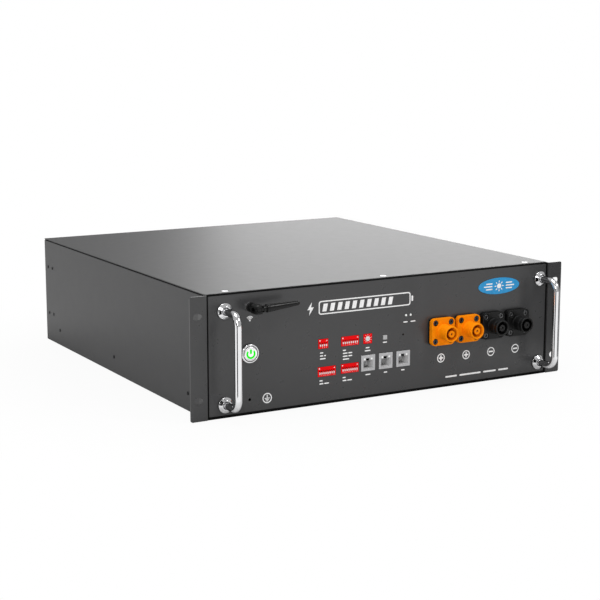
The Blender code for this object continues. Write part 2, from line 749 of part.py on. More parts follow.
def cell_row_outline(middle_y):
    """Return the plan of one row of cells, with a groove wherever two cells meet."""
    half_u = CELLS_PER_ROW * CELL_THICKNESS / 2
    half_v = CELL_WIDTH / 2
    seams = [(i - CELLS_PER_ROW / 2) * CELL_THICKNESS for i in range(1, CELLS_PER_ROW)]
    front = [(-half_u, middle_y - half_v)]
    back = [(half_u, middle_y + half_v)]
    for seam in seams:
        front += [(seam - CELL_GROOVE, middle_y - half_v), (seam, middle_y - half_v + CELL_GROOVE)]
        front.append((seam + CELL_GROOVE, middle_y - half_v))
    for seam in reversed(seams):
        back += [(seam + CELL_GROOVE, middle_y + half_v), (seam, middle_y + half_v - CELL_GROOVE)]
        back.append((seam - CELL_GROOVE, middle_y + half_v))
    front.append((half_u, middle_y - half_v))
    back.append((-half_u, middle_y + half_v))
    return front + back


def terminal_spots(middle_y):
    """Return the centres of the two terminals of each cell in a row."""
    centres = [(i - (CELLS_PER_ROW - 1) / 2) * CELL_THICKNESS for i in range(CELLS_PER_ROW)]
    return [(x, middle_y + sign * TERMINAL_OFFSET) for x in centres for sign in (-1, 1)]


def build_cell_row(name, middle_y):
    """Make one row of cells with its terminals, its link tray and its clamp frame."""
    row = slab(f"{name}_cell_row", "Z", CELL_BASE, CELL_TOP, cell_row_outline(middle_y),
               kind="cell_blue")
    half = TERMINAL_SIZE / 2
    for x, y in terminal_spots(middle_y):
        low = (x - half, y - half, CELL_TOP - 1.0)
        high = (x + half, y + half, CELL_TOP + TERMINAL_HEIGHT)
        fuse(row, box("terminal", low, high))

    reach = half + GAP
    windows = [rectangle(x - reach, y - reach, x + reach, y + reach)
               for x, y in terminal_spots(middle_y)]
    half_u = CELLS_PER_ROW * CELL_THICKNESS / 2
    half_v = CELL_WIDTH / 2
    plan = rectangle(-half_u + 2.0, middle_y - half_v + 2.0, half_u - 2.0, middle_y + half_v - 2.0)
    base = CELL_TOP + GAP
    slab(f"{name}_link_tray", "Z", base, base + 1.8, plan, windows, "tray_plastic")

    inner_u = half_u + 0.4
    inner_v = half_v + 0.4
    inner = rectangle(-inner_u, middle_y - inner_v, inner_u, middle_y + inner_v)
    outer_u = inner_u + CLAMP_SHEET
    outer_v = inner_v + CLAMP_SHEET
    outer = rectangle(-outer_u, middle_y - outer_v, outer_u, middle_y + outer_v)
    slab(f"{name}_clamp_frame", "Z", 15.0, 105.0, outer, [inner], "aluminium")


def build_series_link():
    """Make the bar that joins the two rows of cells at their right-hand ends."""
    x = (CELLS_PER_ROW - 1) / 2 * CELL_THICKNESS
    near = ROWS[0][1] + TERMINAL_OFFSET - 8.0
    far = ROWS[1][1] - TERMINAL_OFFSET + 8.0
    base = CELL_TOP + TERMINAL_HEIGHT + GAP
    slab("series_link", "Z", base, base + 2.5, rectangle(x - 8.0, near, x + 8.0, far), kind="copper")


def build_pack():
    """Make every sub-part of the battery pack."""
    build_enclosure()
    build_front_panel()
    build_ear("left", -1)
    build_ear("right", 1)
    for side, x in HANDLES:
        build_handle(side, x)
    build_power_button()
    build_antenna()
    for name, x in zip(CONNECTOR_NAMES, CONNECTOR_XS):
        kind = "orange_plastic" if name.startswith("positive") else "black_plastic"
        build_power_connector(name, x, kind)
    for number, x in enumerate(SOCKET_XS, start=1):
        build_network_socket(number, x)
    for name, x, z, ways in SWITCH_BLOCKS:
        build_switch_block(name, x, z, ways)
    build_code_switch()
    build_reset_switch()
    for name, x in LIGHTS:
        build_light(name, x)
    build_electronics()
    for name, middle_y in ROWS:
        build_cell_row(name, middle_y)
    build_series_link()


for existing in list(bpy.data.objects):
    bpy.data.objects.remove(existing)
build_pack()
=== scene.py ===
"""Looks of the rack-mounted battery pack: finer pieces, materials, studio and camera.

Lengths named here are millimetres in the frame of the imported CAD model: the width along X,
the depth along Y with the front panel facing -Y, and the height along Z.
"""

import json
import math

import bmesh
import bpy
from mathutils import Matrix, Vector


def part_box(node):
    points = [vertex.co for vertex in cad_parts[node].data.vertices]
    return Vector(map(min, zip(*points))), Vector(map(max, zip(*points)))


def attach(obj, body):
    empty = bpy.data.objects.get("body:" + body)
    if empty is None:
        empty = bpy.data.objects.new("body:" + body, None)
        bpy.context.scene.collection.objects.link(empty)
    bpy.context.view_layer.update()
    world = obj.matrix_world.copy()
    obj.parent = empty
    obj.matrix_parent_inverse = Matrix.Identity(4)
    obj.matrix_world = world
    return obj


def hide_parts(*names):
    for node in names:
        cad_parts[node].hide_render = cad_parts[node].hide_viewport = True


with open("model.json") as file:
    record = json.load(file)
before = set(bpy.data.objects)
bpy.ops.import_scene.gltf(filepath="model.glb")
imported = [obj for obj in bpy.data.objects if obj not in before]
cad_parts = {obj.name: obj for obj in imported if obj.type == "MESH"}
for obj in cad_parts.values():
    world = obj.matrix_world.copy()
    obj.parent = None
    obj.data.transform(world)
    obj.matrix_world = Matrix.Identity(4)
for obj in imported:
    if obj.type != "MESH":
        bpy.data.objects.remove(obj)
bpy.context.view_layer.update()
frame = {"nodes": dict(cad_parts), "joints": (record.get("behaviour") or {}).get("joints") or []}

MM = 0.001

# Camera, fitted to the object's corners
CAMERA_SPOT = (-877.9, -1592.7, 404.0)
CAMERA_AZIMUTH = -29.54
CAMERA_ELEVATION = 10.42
CAMERA_LENS = 89.24
CAMERA_SENSOR = 36.0

# Floor, as the camera and as polished metal see it: the distances over which it turns
# white, and the share of white beside the object
FLOOR_SEEN = (240.0, 520.0, 0.93)
FLOOR_REFLECTED = (340.0, 430.0, 0.15)

# Cards that the handles reflect: the handle, the direction to the right of the panel's
# outward normal, the width and the greyness
CARDS = (
    ("left", -57.0, 62.0, 0.004),
    ("right", -57.0, 62.0, 0.004),
    ("right", 64.0, 100.0, 0.16),
)
CARD_DISTANCE = 120.0
CARD_HEIGHT = 150.0

# Handles, and the dark tint of chrome seen edge on, which is painted shade along the rims of chrome
# pieces
HANDLE_BEND = 12.0
CHROME_EDGE_SHADE = (0.18, 0.18, 0.19, 1.0)

# Softboxes, which all look at one point: the place and size in metres, the power in watts
SOFTBOX_TARGET = (0.0, 0.0, 0.07)
SOFTBOXES = (
    ("overhead", (-0.3, -0.2, 2.2), (1.1, 1.1), 24.0),
    ("left", (-1.6, -1.55, 0.9), (1.2, 1.2), 15.2),
    ("front_right", (0.9, -1.4, 1.65), (0.5, 0.5), 9.0),
    ("rear_right", (1.9, 1.72, 0.74), (2.3, 1.4), 23.5),
)

# White that surrounds the object, as a share of full brightness when it lights things
SURROUNDINGS_LIGHT = 0.45

# Angle above which the edges of a piece are sharp, in degrees
SHARP_ANGLE = 32.0

# Ink of the markings: how far it stands out of the panel, and how deep it starts
INK_PROUD = 0.08
INK_DEPTH = 0.1

# Screws of the side walls, as distances behind the panel face and heights
WALL_SCREW_PAIRS = ((453.0, 468.5), (36.5, 97.0))
WALL_SCREW_ROW = ((47.1, 251.5, 431.3), 19.3)
WALL_SCREW_RADIUS = 2.1

# Black strip over the foot of the panel, which is painted shade, and black packing behind the ears,
# which is painted shade in the slit between ear and case
FOOT_SHADE_HEIGHT = 1.4
FOOT_SHADE_REACH = 0.3
SLIT_SHADE_SETBACK = 0.42
SLIT_SHADE_OVERLAP = 0.5

# Power connectors: the thicknesses of the black ring under the flange, which is painted shade, and of
# the flange, the radii and the screws
SHADE_RING_THICKNESS = 2.6
CONNECTOR_FLANGE = 8.0
CONNECTOR_BARREL_RADIUS = 9.1
CONNECTOR_BORE_RADIUS = 7.1
CONNECTOR_SCREW_OFFSET = 10.5
CONNECTOR_SCREW_RADIUS = 3.2

# Charge scale: its lower left and upper right corners, its line and its cells
SCALE_LOW = (-88.0, 99.5)
SCALE_HIGH = (30.0, 114.5)
SCALE_LINE = 1.3
SCALE_CELLS = 12
SCALE_CELLS_LIT = 10

# Places of the other markings, the pin hole and the badge, with its half axes
POLARITY_SHIFT = 2.5
POLARITY_HEIGHT = 34.5
LIGHT_LABELS_HEIGHT = 81.0
RESET_LABEL_HEIGHT = 60.8
CODE_LABEL_HEIGHT = 57.0
EARTH_SPOT = (-151.1, 15.7)
AERIAL_SPOT = (-171.4, 101.6)
SENTENCE_SPOT = (123.4, 11.6)
BADGE_SPOT = (151.6, 110.8)
BADGE_REACH = (29.0, 9.5)
PIN_HOLE = (20.8, 67.1)

# Repeated pieces; a switch block has its number of slides and the bars of its blank label
POWER_CONNECTORS = ("positive_1", "positive_2", "negative_1", "negative_2")
SWITCH_BLOCKS = (
    ("upper_left", 4, ((4,), (4, 2.5), (7,))),
    ("upper_middle", 8, ((4,), (6, 5), (6, 5), (8,))),
    ("lower_left", 8, ((4,), (5, 6))),
    ("lower_middle", 8, ((4,), (5, 6))),
)
SLIDER_PITCH = 2.54


# Outlines and solids, all as lists of points and faces


def box_mm(node):
    """Return the lowest and highest corners of a CAD node in millimetres."""
    low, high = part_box(node)
    return low / MM, high / MM


def centre_mm(node):
    """Return the centre of a CAD node's box in millimetres."""
    low, high = box_mm(node)
    return (low + high) / 2


def radius_mm(node):
    """Return half the width of a CAD node's box in millimetres."""
    low, high = box_mm(node)
    return (high.x - low.x) / 2


def panel_face():
    """Return where the front panel's outer face lies along Y."""
    return box_mm("front_panel")[0].y


def arc(centre, radius, start, end, steps):
    """Return the points of an arc, both ends included, with angles in degrees."""
    turns = [math.radians(start + (end - start) * i / steps) for i in range(steps + 1)]
    return [(centre[0] + radius * math.cos(t), centre[1] + radius * math.sin(t)) for t in turns]


def circle(centre, radius, sides=48):
    """Return the points of a circle or of a regular polygon."""
    return arc(centre, radius, 0.0, 360.0 - 360.0 / sides, sides - 1)


def rectangle(centre, width, height):
    """Return the corners of a rectangle about its centre."""
    u, v = width / 2, height / 2
    x, y = centre
    return [(x - u, y - v), (x + u, y - v), (x + u, y + v), (x - u, y + v)]


def rounded(centre, width, height, radius, steps=8):
    """Return the outline of a rectangle with round corners."""
    u = width / 2 - radius
    v = height / 2 - radius
    outline = []
    for su, sv, start in ((1, 1, 0), (-1, 1, 90), (-1, -1, 180), (1, -1, 270)):
        corner = (centre[0] + su * u, centre[1] + sv * v)
        outline += arc(corner, radius, start, start + 90, steps)
    return outline


def bar(centre, length, width):
    """Return the outline of a level bar with round ends."""
    return rounded(centre, length, width, width / 2 - 0.001, 4)


def band(centre, inner, outer, start, end, steps=32):
    """Return the outline of a curved band between two radii."""
    return arc(centre, outer, start, end, steps) + arc(centre, inner, end, start, steps)


def cross(centre, reach, width):
    """Return the outline of a cross, such as a screw's recess or a plus sign."""
    x, y = centre
    w = width / 2
    quarter = [(w, w), (w, reach), (-w, reach)]
    outline = []
    for _ in range(4):
        outline += [(x + u, y + v) for u, v in quarter]
        quarter = [(-v, u) for u, v in quarter]
    return outline


def turned_outline(outline, centre, angle):
    """Turn an outline about a point, in degrees."""
    c, s = math.cos(math.radians(angle)), math.sin(math.radians(angle))
    moved = [(u - centre[0], v - centre[1]) for u, v in outline]
    return [(centre[0] + u * c - v * s, centre[1] + u * s + v * c) for u, v in moved]


def flat_to_space(axis, level, u, v):
    """Put a point of a flat outline at a level along an axis."""
    if axis == "X":
        return (level, u, v)
    if axis == "Y":
        return (u, level, v)
    return (u, v, level)


def from_curve(data, axis, level):
    """Turn a flat curve or text into points and faces about a level along an axis."""
    holder = bpy.data.objects.new("holder", data)
    mesh = bpy.data.meshes.new_from_object(holder)
    points = [flat_to_space(axis, level + p.co.z, p.co.x, p.co.y) for p in mesh.vertices]
    faces = [list(face.vertices) for face in mesh.polygons]
    bpy.data.objects.remove(holder)
    bpy.data.meshes.remove(mesh)
    return points, faces


def plate(outlines, near, far, ease=0.0, axis="Y"):
    """Extrude nested flat outlines between two levels, with rounded edges."""
    curve = bpy.data.curves.new("plate", "CURVE")
    curve.dimensions = "2D"
    curve.fill_mode = "BOTH"
    for outline in outlines:
        spline = curve.splines.new("POLY")
        spline.points.add(len(outline) - 1)
        for point, (u, v) in zip(spline.points, outline):
            point.co = (u, v, 0.0, 1.0)
        spline.use_cyclic_u = True
    curve.extrude = abs(far - near) / 2 - ease
    curve.bevel_depth = ease
    curve.bevel_resolution = 2
    curve.offset = -ease
    return from_curve(curve, axis, (near + far) / 2)


def glyph(text, size, centre, angle, near, far):
    """Make the solid of a short text on the panel, such as a digit."""
    data = bpy.data.curves.new("glyph", "FONT")
    data.body = text
    data.size = size
    data.align_x = "CENTER"
    data.align_y = "CENTER"
    data.extrude = abs(far - near) / 2
    data.resolution_u = 3
    points, faces = from_curve(data, "Y", (near + far) / 2)
    flat = turned_outline([(x, z) for x, _, z in points], (0.0, 0.0), angle)
    moved = [(u + centre[0], p[1], v + centre[1]) for (u, v), p in zip(flat, points)]
    return moved, faces


def eased(profile, radius, steps=3):
    """Round the corners between the points of a profile."""
    smooth = [profile[0]]
    for before, corner, after in zip(profile, profile[1:], profile[2:]):
        at = Vector(corner)
        back = Vector(before) - at
        on = Vector(after) - at
        start = at + back.normalized() * min(radius, back.length * 0.45)
        end = at + on.normalized() * min(radius, on.length * 0.45)
        for i in range(steps + 1):
            t = i / steps
            smooth.append(tuple(start * (1 - t) ** 2 + at * (2 * t * (1 - t)) + end * t ** 2))
    return smooth + [profile[-1]]


def turned(profile, centre, direction, sides=64, closed=False):
    """Turn a profile of (level, radius) points about an axis through a centre.

    Levels run along the direction. An open profile starts and ends on the axis, and a
    closed one makes a ring.
    """
    axis = Vector(direction).normalized()
    side = axis.orthogonal().normalized()
    other = axis.cross(side)
    points = []
    rings = []
    for level, radius in profile:
        spokes = sides if radius > 1e-6 else 1
        rings.append([len(points) + i for i in range(spokes)])
        for i in range(spokes):
            turn = 2 * math.pi * i / sides
            spoke = side * math.cos(turn) + other * math.sin(turn)
            points.append(tuple(Vector(centre) + axis * level + spoke * radius))
    pairs = list(zip(rings, rings[1:]))
    if closed:
        pairs.append((rings[-1], rings[0]))
    faces = []
    for low, high in pairs:
        for i in range(sides):
            j = (i + 1) % sides
            ends = ((low, i), (low, j), (high, j), (high, i))
            corners = [ring[k % len(ring)] for ring, k in ends]
            faces.append(list(dict.fromkeys(corners)))
    return points, [face for face in faces if len(face) > 2]


def tube(path, radius, across, sides=40):
    """Sweep a circle along a flat path; across is the direction square to the path's plane."""
    across = Vector(across)
    points = []
    for i, spot in enumerate(path):
        along = Vector(path[min(i + 1, len(path) - 1)]) - Vector(path[max(i - 1, 0)])
        other = along.normalized().cross(across)
        for j in range(sides):
            turn = 2 * math.pi * j / sides
            spoke = across * math.cos(turn) + other * math.sin(turn)
            points.append(tuple(Vector(spot) + spoke * radius))
    faces = [list(range(sides)), [len(points) - sides + j for j in range(sides)]]
    for i in range(len(path) - 1):
        for j in range(sides):
            k = (j + 1) % sides
            low, high = i * sides, (i + 1) * sides
            faces.append([low + j, low + k, high + k, high + j])
    return points, faces


def placed(solid, matrix):
    """Move a solid by a matrix."""
    points, faces = solid
    return [tuple(matrix @ Vector(point)) for point in points], faces


def piece(name, body, material, solids, replaces=()):
    """Join solids into one visible piece of a named material that rides on a body."""
    builder = bmesh.new()
    for points, faces in solids:
        corners = [builder.verts.new(Vector(point) * MM) for point in points]
        for face in faces:
            try:
                builder.faces.new([corners[i] for i in face])
            except ValueError:
                continue
    bmesh.ops.remove_doubles(builder, verts=builder.verts, dist=1e-7)
    bmesh.ops.dissolve_degenerate(builder, edges=builder.edges, dist=1e-8)
    bmesh.ops.recalc_face_normals(builder, faces=builder.faces)
    mesh = bpy.data.meshes.new(name)
    builder.to_mesh(mesh)
    builder.free()
    mesh.shade_smooth()
    mesh.set_sharp_from_angle(angle=math.radians(SHARP_ANGLE))
    mesh.materials.append(MATERIALS[material])
    made = bpy.data.objects.new(name, mesh)
    bpy.context.scene.collection.objects.link(made)
    weigh_normals(made, True)
    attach(made, body)
    if replaces:
        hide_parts(*replaces)
    return made


def weigh_normals(part, keep_sharp):
    """Keep flat faces flat beside their rounded edges."""
    normals = part.modifiers.new("weighted_normals", "WEIGHTED_NORMAL")
    normals.keep_sharp = keep_sharp
    normals.weight = 80


def soften(node, width, segments=3):
    """Round the edges of a CAD node that stays in view."""
    part = frame["nodes"][node]
    weld = part.modifiers.new("weld", "WELD")
    weld.merge_threshold = 2e-6
    flatten = part.modifiers.new("flatten", "DECIMATE")
    flatten.decimate_type = "DISSOLVE"
    flatten.angle_limit = math.radians(0.5)
    edges = part.modifiers.new("round_edges", "BEVEL")
    edges.width = width * MM
    edges.segments = segments
    edges.limit_method = "ANGLE"
    edges.angle_limit = math.radians(40.0)
    edges.use_clamp_overlap = True
    weigh_normals(part, False)


def coat(material, *nodes):
    """Give CAD nodes a finer material by its name."""
    for node in nodes:
        frame["nodes"][node].material_slots[0].material = MATERIALS[material]


def dress(material, width, *nodes, segments=3):
    """Give CAD nodes a finer material and rounded edges."""
    coat(material, *nodes)
    for node in nodes:
        soften(node, width, segments)


# Materials


class Finish:
    """A procedural material under construction, with its coordinates in millimetres."""

    def __init__(self, name, colour, roughness, metallic=0.0, specular=0.5, **sockets):
        self.material = bpy.data.materials.new(name)
        self.material.use_nodes = True
        self.nodes = self.material.node_tree.nodes
        self.links = self.material.node_tree.links
        self.shader = self.nodes["Principled BSDF"]
        self.colour = colour
        self.roughness = roughness
        self.shader.inputs["Base Color"].default_value = (*colour, 1.0)
        self.shader.inputs["Roughness"].default_value = roughness
        self.shader.inputs["Metallic"].default_value = metallic
        self.shader.inputs["Specular IOR Level"].default_value = specular
        for socket, value in sockets.items():
            self.shader.inputs[socket.replace("_", " ")].default_value = value
        self.material.diffuse_color = (*colour, 1.0)
        place = self.nodes.new("ShaderNodeTexCoord")
        self.scale = self.nodes.new("ShaderNodeMapping")
        self.scale.inputs["Scale"].default_value = (1 / MM, 1 / MM, 1 / MM)
        self.links.new(place.outputs["Object"], self.scale.inputs["Vector"])
        self.height = None

    def stretched(self, stretch):
        """Return coordinates squeezed along some directions, for brushed marks."""
        mapping = self.nodes.new("ShaderNodeMapping")
        mapping.inputs["Scale"].default_value = stretch
        self.links.new(self.scale.outputs["Vector"], mapping.inputs["Vector"])
        return mapping.outputs["Vector"]

    def noise(self, size, detail=2.0, vector=None):
        """Return a noise from 0 to 1 with features of a size."""
        texture = self.nodes.new("ShaderNodeTexNoise")
        texture.inputs["Scale"].default_value = 1.0 / size
        texture.inputs["Detail"].default_value = detail
        self.links.new(vector or self.scale.outputs["Vector"], texture.inputs["Vector"])
        return texture.outputs["Fac"]

    def spread(self, value, low, high, start=0.3, end=0.7, kind="LINEAR"):
        """Map a value onto a range, from the middle values of a noise if not told."""
        node = self.nodes.new("ShaderNodeMapRange")
        node.interpolation_type = kind
        node.inputs["From Min"].default_value = start
        node.inputs["From Max"].default_value = end
        node.inputs["To Min"].default_value = low
        node.inputs["To Max"].default_value = high
        self.links.new(value, node.inputs["Value"])
        return node.outputs["Result"]

    def combine(self, operation, first, second):
        """Return what a mathematical operation makes of two values."""
        node = self.nodes.new("ShaderNodeMath")
        node.operation = operation
        self.links.new(first, node.inputs[0])
        self.links.new(second, node.inputs[1])
        return node.outputs["Value"]

    def blend_colour(self, factor, other, plain=None):
        """Mix the colour so far, or a plain one, with another by a factor."""
        mix = self.nodes.new("ShaderNodeMix")
        mix.data_type = "RGBA"
        mix.inputs["A"].default_value = (*(plain or self.colour), 1.0)
        mix.inputs["B"].default_value = (*other, 1.0)
        socket = self.shader.inputs["Base Color"]
        if socket.is_linked:
            self.links.new(socket.links[0].from_socket, mix.inputs["A"])
        self.links.new(factor, mix.inputs["Factor"])
        self.links.new(mix.outputs["Result"], socket)
        return self

    def mottle(self, size, amount, detail=3.0):
        """Vary the brightness of the colour by a share of it."""
        light = tuple(c * (1 + amount) + 0.004 * amount for c in self.colour)
        dark = tuple(c * (1 - amount) for c in self.colour)
        return self.blend_colour(self.spread(self.noise(size, detail), 0.0, 1.0), light, dark)

    def haze(self, size, amount, detail=3.0, vector=None):
        """Vary the roughness either way by an amount."""
        low, high = self.roughness - amount, self.roughness + amount
        value = self.spread(self.noise(size, detail, vector), low, high)
        self.links.new(value, self.shader.inputs["Roughness"])
        return self

    def grain(self, size, depth, strength=1.0, detail=2.0, vector=None):
        """Add a bumpy texture of a size and depth."""
        return self.bump(self.noise(size, detail, vector), depth, strength)

    def bump(self, value, depth, strength=1.0):
        """Add a height to the surface."""
        bump = self.nodes.new("ShaderNodeBump")
        bump.inputs["Distance"].default_value = depth * MM
        bump.inputs["Strength"].default_value = strength
        self.links.new(value, bump.inputs["Height"])
        if self.height is not None:
            self.links.new(self.height, bump.inputs["Normal"])
        self.height = bump.outputs["Normal"]
        self.links.new(self.height, self.shader.inputs["Normal"])
        return self


def powder_coat(name, colour, roughness):
    """Return textured baked paint on steel."""
    finish = Finish(name, colour, roughness)
    finish.mottle(45.0, 0.015).haze(12.0, 0.008)
    finish.grain(0.7, 0.012, 0.4)
    speckle = finish.spread(finish.noise(0.45, 1.0), 0.0, 0.10)
    finish.blend_colour(speckle, tuple(c * 1.7 for c in colour))
    return finish.material


def moulded(name, colour, roughness, specular=0.5):
    """Return moulded plastic with a fine spark-eroded texture."""
    finish = Finish(name, colour, roughness, specular=specular)
    finish.mottle(6.0, 0.06).haze(2.2, 0.05).grain(0.35, 0.02, 0.5)
    return finish.material


def plated(name, colour, roughness, haze=0.04, **sockets):
    """Return bright plated metal with faint smears."""
    finish = Finish(name, colour, roughness, 1.0, **sockets)
    finish.mottle(14.0, 0.03).haze(5.0, haze).grain(3.5, 0.004, 0.3)
    return finish.material


def brushed(name, colour, roughness, stretch=(0.05, 1.0, 1.0)):
    """Return metal with fine marks along one direction."""
    finish = Finish(name, colour, roughness, 1.0)
    vector = finish.stretched(stretch)
    finish.mottle(8.0, 0.06).haze(0.5, 0.08, 2.0, vector).grain(0.35, 0.006, 0.6, 2.0, vector)
    return finish.material


def glowing(name, colour, strength, glow=None, specular=0.5):
    """Return a lit translucent plastic, which may glow in another colour than its own."""
    finish = Finish(name, colour, 0.40, specular=specular)
    finish.mottle(1.5, 0.05).haze(1.0, 0.05)
    finish.shader.inputs["Emission Color"].default_value = (*(glow or colour), 1.0)
    finish.shader.inputs["Emission Strength"].default_value = strength
    return finish.material


def circuit_board(name):
    """Return green solder mask over a grid of copper tracks."""
    finish = Finish(name, (0.012, 0.115, 0.04), 0.32, Coat_Weight=0.3)
    tracks = finish.nodes.new("ShaderNodeTexBrick")
    tracks.inputs["Scale"].default_value = 1.0
    tracks.inputs["Brick Width"].default_value = 9.0
    tracks.inputs["Row Height"].default_value = 2.4
    tracks.inputs["Mortar Size"].default_value = 0.28
    finish.links.new(finish.scale.outputs["Vector"], tracks.inputs["Vector"])
    finish.mottle(12.0, 0.08).haze(4.0, 0.06)
    finish.blend_colour(tracks.outputs["Fac"], (0.03, 0.23, 0.075))
    finish.bump(tracks.outputs["Fac"], 0.03, 0.6)
    return finish.material


def cell_film(name):
    """Return the blue insulating film shrunk around a battery cell."""
    finish = Finish(name, (0.015, 0.08, 0.27), 0.38, Coat_Weight=0.25)
    finish.mottle(22.0, 0.10).haze(7.0, 0.08).grain(5.0, 0.10, 0.4, 4.0)
    return finish.material


MATERIALS = {
    "case": powder_coat("case_powder_coat", (0.027, 0.027, 0.028), 0.42),
    "panel": powder_coat("panel_powder_coat", (0.044, 0.044, 0.045), 0.28),
    # Black rubber of the seals, also used for the black pieces that are painted shade: the strip at
    # the panel's foot, the packing in the ear slits, the rings under the connector flanges, the
    # plates in the socket latches and the ring in the pin hole
    "seal": moulded("black_rubber_and_painted_shade", (0.003, 0.003, 0.003), 0.80, specular=0.1),
    # Chrome, darkened where seen edge on as painted shade along its rims
    "chrome": plated("polished_chrome", (0.86, 0.86, 0.87), 0.07, 0.025, Specular_Tint=CHROME_EDGE_SHADE),
    "zinc": plated("bright_zinc", (0.88, 0.88, 0.89), 0.32, 0.05),
    "cap": brushed("button_steel", (0.97, 0.97, 0.97), 0.20),
    "black_screw": plated("blackened_steel", (0.012, 0.012, 0.013), 0.38, 0.06),
    "dark_screw": plated("dark_zinc", (0.05, 0.065, 0.085), 0.22, 0.05),
    "grey_screw": plated("grey_zinc", (0.12, 0.12, 0.122), 0.28, 0.05),
    "whip": moulded("antenna_rubber", (0.003, 0.003, 0.003), 0.24, specular=0.28),
    "black": moulded("black_plastic", (0.003, 0.003, 0.003), 0.42, specular=0.32),
    "orange": moulded("orange_plastic", (0.95, 0.27, 0.001), 0.50, specular=0.06),
    "red": moulded("red_plastic", (0.88, 0.004, 0.006), 0.50, specular=0.06),
    "white": moulded("white_plastic", (0.86, 0.86, 0.85), 0.42),
    "pale": moulded("pale_grey_plastic", (0.48, 0.48, 0.48), 0.42),
    "insert": moulded("socket_insert", (0.62, 0.62, 0.623), 0.50),
    "shield": brushed("socket_shield", (0.58, 0.58, 0.59), 0.40),
    "silver": plated("silver_contact", (0.72, 0.71, 0.69), 0.24, 0.06),
    "copper": brushed("copper_bar", (0.78, 0.36, 0.22), 0.28),
    "aluminium": brushed("milled_aluminium", (0.60, 0.61, 0.62), 0.38),
    "board": circuit_board("circuit_board"),
    "cell": cell_film("cell_film"),
    "tray": moulded("tray_plastic", (0.04, 0.04, 0.044), 0.55),
    "lens": glowing("light_lens", (0.90, 0.92, 0.90), 0.10),
    "window": glowing("light_window", (0.86, 0.87, 0.86), 0.15),
    "green_glow": glowing("power_symbol_glow", (0.001, 0.06, 0.001), 0.85, (0.001, 1.0, 0.001), 0.05),
    "ink": moulded("printed_ink", (0.95, 0.95, 0.95), 0.60, specular=0.2),
    "badge": moulded("badge_enamel", (0.012, 0.30, 0.64), 0.35),
}


# The sheet-metal case


def dress_case():
    """Round the edges of the sheet metal and give it its paint."""
    dress("case", 0.35, "chassis_tray", "top_cover")
    dress("panel", 0.25, "front_panel")
    dress("panel", 0.3, "left_rack_ear", "right_rack_ear")
    dress("seal", 0.15, "front_seal", segments=2)


def build_seal_lip():
    """Lay a black strip over the foot of the panel, as painted shade along its lower edge."""
    low, high = box_mm("front_panel")
    foot, top = low.z - FOOT_SHADE_REACH, low.z + FOOT_SHADE_HEIGHT
    foot_shade = rectangle(((low.x + high.x) / 2, (foot + top) / 2), high.x - low.x, top - foot)
    piece("panel_foot_painted_shade", "pack", "seal", [plate([foot_shade], low.y - 0.25, low.y + FOOT_SHADE_REACH)])


def build_ear_packing():
    """Fill the slit between each ear and the case with a black sheet, as painted shade in the slit.
    """
    case_low, case_high = box_mm("chassis_tray")
    ear_low, ear_high = box_mm("right_rack_ear")
    level = (ear_low.z + ear_high.z) / 2
    near, far = panel_face() + SLIT_SHADE_SETBACK, case_low.y - 0.1
    width = 2 * (ear_low.x - case_high.x + SLIT_SHADE_OVERLAP)
    for side, x in (("left", case_low.x), ("right", case_high.x)):
        strip = rectangle((x, level), width, ear_high.z - ear_low.z)
        piece(f"{side}_ear_slit_painted_shade", "pack", "seal", [plate([strip], near, far)])


def recessed_head(centre, radius, thickness, recess, axis, outward):
    """Make a screw head with a recess; the head stands outward along an axis from its seat."""
    flat = list(centre)
    level = flat.pop("XYZ".index(axis))
    floor = level + outward * thickness * 0.4
    top = level + outward * thickness
    moved = [(u + flat[0], v + flat[1]) for u, v in recess]
    upper = plate([circle(flat, radius), moved], floor, top, thickness * 0.25, axis)
    lower = plate([circle(flat, radius * 0.96)], level, floor, 0.0, axis)
    return [upper, lower]


def build_wall_screws():
    """Make the black screws along both side walls."""
    pair_setbacks, pair_heights = WALL_SCREW_PAIRS
    row_setbacks, row_height = WALL_SCREW_ROW
    spots = [(y, z) for y in pair_setbacks for z in pair_heights]
    spots += [(y, row_height) for y in row_setbacks]
    recess = cross((0.0, 0.0), 1.1, 0.5)
    low, high = box_mm("chassis_tray")
    face = panel_face()
    for side, wall, outward in (("left", low.x, -1), ("right", high.x, 1)):
        solids = []
        for y, z in spots:
            centre = (wall, face + y, z)
            solids += recessed_head(centre, WALL_SCREW_RADIUS, 0.45, recess, "X", outward)
        piece(f"{side}_wall_screws", "pack", "black_screw", solids)


def build_cover_screws():
    """Make the bright cross-recessed screws of the top cover."""
    recess = cross((0.0, 0.0), 1.4, 0.6)
    for side in ("left", "middle", "right"):
        node = f"cover_screw_{side}"
        low, high = box_mm(node)
        middle = centre_mm(node)
        seat = high.z - 1.3
        centre = (middle.x, middle.y, seat)
        solids = recessed_head(centre, radius_mm(node), 1.3, recess, "Z", 1)
        shank = [(low.z - seat, 0.0), (low.z - seat, 1.3), (-4.0, 1.5), (0.0, 1.5), (0.0, 0.0)]
        solids.append(turned(shank, centre, (0, 0, 1), 24))
        piece(f"{node}_fine", "pack", "zinc", solids, [node])


def build_cover_gasket():
    """Lay the black gasket in the seam under the top cover."""
    low, high = box_mm("chassis_tray")
    spot = centre_mm("chassis_tray").xy
    width, depth = high.x - low.x, high.y - low.y
    outer = rectangle(spot, width - 1.2, depth - 1.2)
    inner = rectangle(spot, width - 9.0, depth - 9.0)
    gasket = plate([outer, inner], high.z, box_mm("top_cover")[0].z, 0.0, "Z")
    piece("cover_gasket", "pack", "seal", [gasket])


# Handles


